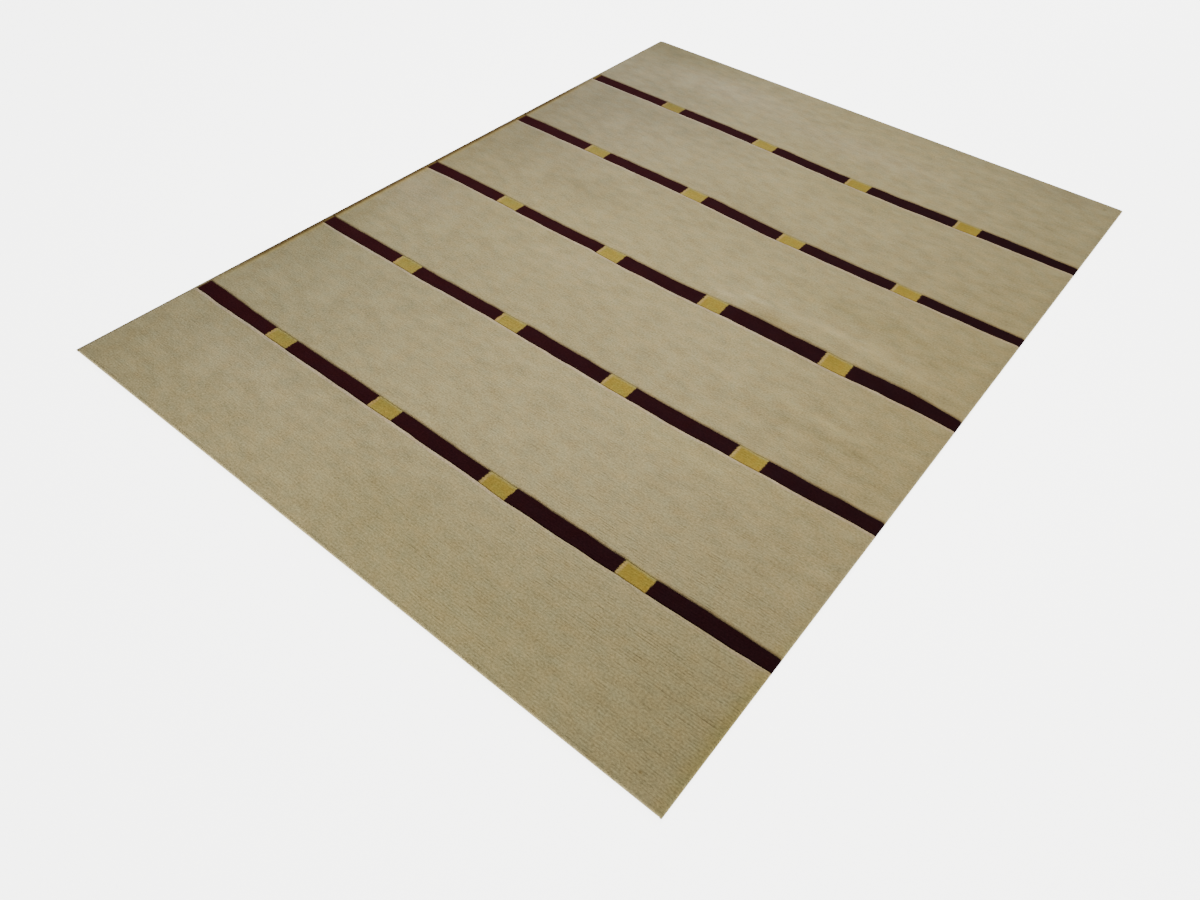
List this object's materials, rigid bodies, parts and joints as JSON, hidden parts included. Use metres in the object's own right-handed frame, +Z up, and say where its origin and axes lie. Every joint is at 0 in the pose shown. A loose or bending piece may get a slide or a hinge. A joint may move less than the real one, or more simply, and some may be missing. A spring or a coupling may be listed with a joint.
{
  "type": "flat hand-knotted wool pile rug",
  "caption": "Rectangular wool pile rug with dashed dark and gold bands carved across it and overcast long sides, lying flat on a floor.",
  "frame": {"origin": "on the floor plane, under the centre of the rug's outline", "axes": "+Z up out of the pile, +Y along the rug's length across the bands, +X across its width along the bands"},
  "size_m": [1.768, 2.4, 0.0228],
  "materials": {
    "wool_pile": "matt cut wool pile, beige field with aubergine and gold bands",
    "overcast_yarn": "matt ochre wool yarn wrapped over the edge cord"
  },
  "bodies": {
    "root": {"rug_body": "wool_pile", "selvedge_left": "overcast_yarn", "selvedge_right": "overcast_yarn"}
  },
  "joints": []
}
